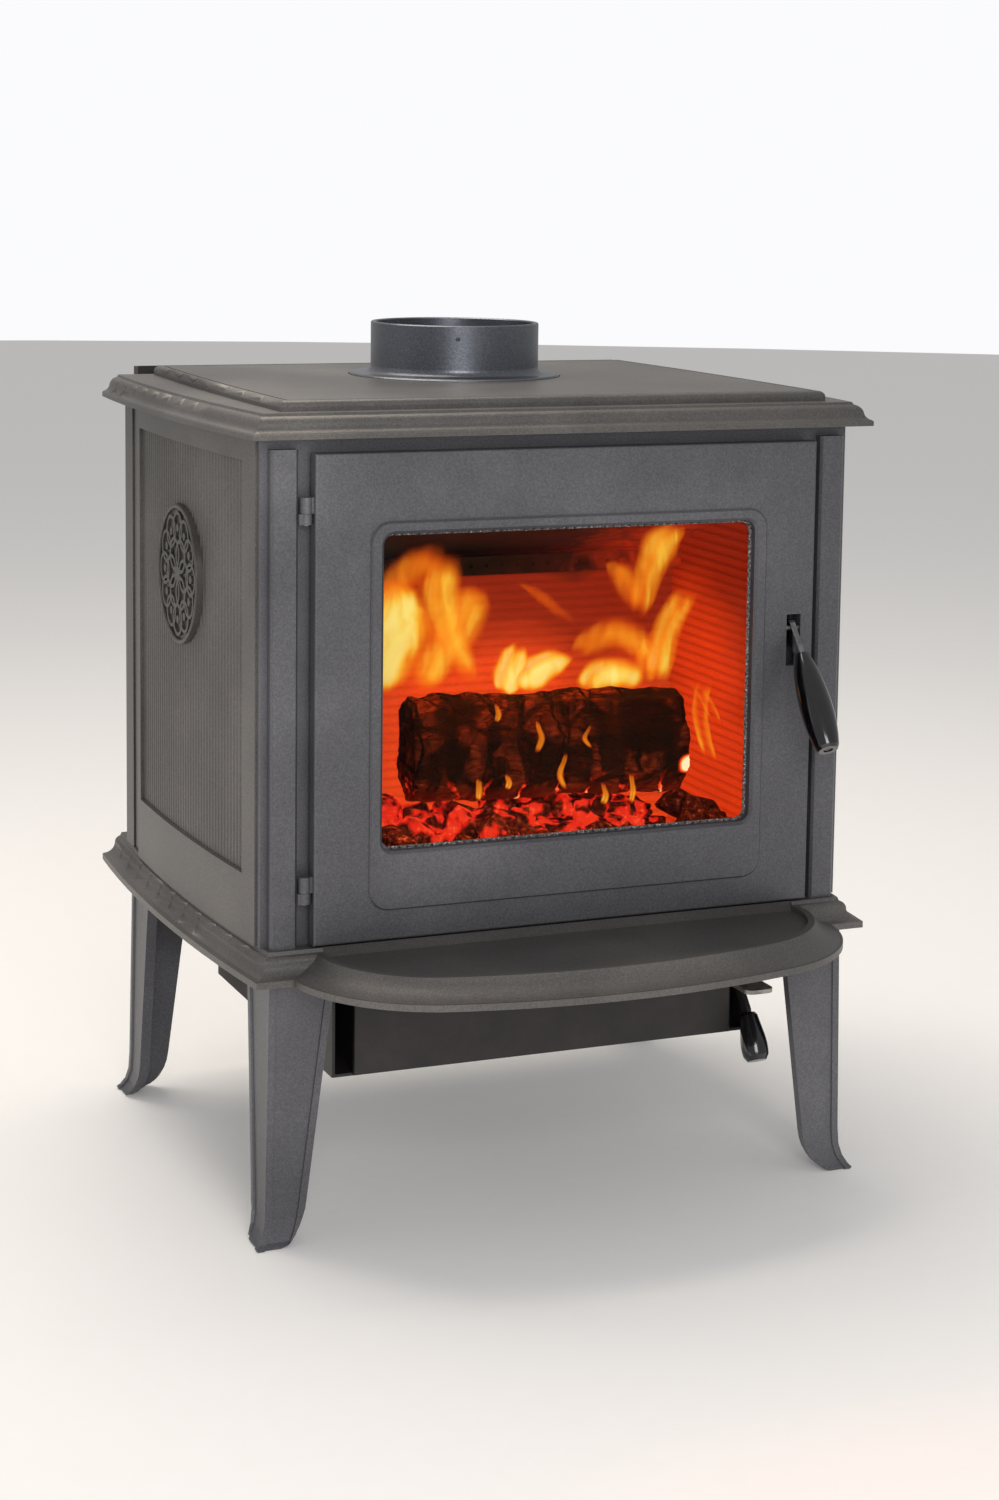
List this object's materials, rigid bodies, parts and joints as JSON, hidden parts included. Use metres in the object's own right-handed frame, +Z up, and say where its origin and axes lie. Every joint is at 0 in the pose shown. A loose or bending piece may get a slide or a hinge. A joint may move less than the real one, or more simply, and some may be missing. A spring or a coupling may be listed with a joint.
{
  "type": "wood burning stove",
  "caption": "Cast-iron wood burning stove on tapered legs with a glazed door, curved ash lip, top flue collar and pull-out ash drawer.",
  "frame": {"origin": "floor level under the middle of the bounding box", "axes": "+Z up, the door faces -Y, +X is to the right for a person facing the door"},
  "size_m": [0.69, 0.73, 0.872],
  "materials": {
    "cast_body": "satin",
    "cast_front": "satin",
    "cast_inner": "matte",
    "sheet_black": "satin",
    "sheet_inner": "matte",
    "steel_zinc": "satin",
    "chrome_lever": "polished",
    "grip_black": "gloss",
    "glass_pane": "gloss",
    "rope_grey": "matte",
    "firebrick": "matte",
    "bark_charred": "matte",
    "embers": "matte"
  },
  "bodies": {
    "stove": {"base_plate": "cast_body", "top_plate": "cast_body", "flue_collar": "cast_body", "flue_bolts": "steel_zinc", "front_frame": "cast_front", "hinge_pins": "steel_zinc", "side_panel_left": "cast_body", "side_panel_right": "cast_body", "medallion_left": "cast_body", "medallion_right": "cast_body", "rear_plate": "cast_body", "rear_heat_shield": "sheet_black", "shield_spacers": "sheet_black", "shield_screws": "steel_zinc", "fire_back": "cast_inner", "firebrick_back": "firebrick", "firebrick_left": "firebrick", "firebrick_right": "firebrick", "secondary_air_bar": "sheet_inner", "baffle_plate": "firebrick", "fixed_grate": "cast_inner", "log_retainer": "cast_inner", "leg_front_left": "cast_front", "leg_front_right": "cast_front", "leg_rear_left": "cast_front", "leg_rear_right": "cast_front", "leg_bolts": "steel_zinc", "ash_housing": "sheet_black", "slide_guides": "sheet_black", "lever_pin": "steel_zinc", "ember_bed": "embers", "firewood_log": "bark_charred"},
    "door": {"door_casting": "cast_front", "door_glass": "glass_pane", "glass_gasket": "rope_grey", "glass_clips": "steel_zinc", "clip_screws": "steel_zinc", "door_rope": "rope_grey", "latch_pin": "steel_zinc"},
    "latch": {"latch_lever": "chrome_lever", "handle_grip": "grip_black", "grip_screw": "steel_zinc"},
    "drawer": {"ash_drawer": "sheet_black", "drawer_front": "sheet_black"},
    "air_control": {"air_slide": "chrome_lever"},
    "riddling_control": {"riddling_lever": "sheet_black", "riddling_grip": "grip_black"},
    "riddling_bars": {"riddling_grate": "cast_inner"}
  },
  "joints": [
    {"name": "door_hinge", "type": "hinge", "parent": "stove", "child": "door", "pos_m": [-0.2712, -0.186, 0.53], "axis": [0, 0, -1], "range_deg": [0, 110]},
    {"name": "latch_lift", "type": "hinge", "parent": "door", "child": "latch", "pos_m": [0.2455, -0.187, 0.576], "axis": [-1, 0, 0], "range_deg": [0, 38]},
    {"name": "drawer_slide", "type": "slide", "parent": "stove", "child": "drawer", "axis": [0, -1, 0], "range_m": [0, 0.3]},
    {"name": "air_control_slide", "type": "slide", "parent": "stove", "child": "air_control", "axis": [-1, 0, 0], "range_m": [0, 0.03]},
    {"name": "riddling_lift", "type": "hinge", "parent": "stove", "child": "riddling_control", "pos_m": [0.2215, -0.095, 0.205], "axis": [-1, 0, 0], "range_deg": [0, 25]},
    {"name": "riddling_shift", "type": "slide", "parent": "stove", "child": "riddling_bars", "axis": [0, 1, 0], "range_m": [0, 0.0156]}
  ],
  "couplings": [
    {"joint": "riddling_shift", "follows": "riddling_lift", "m_per_rad": 0.0357}
  ]
}
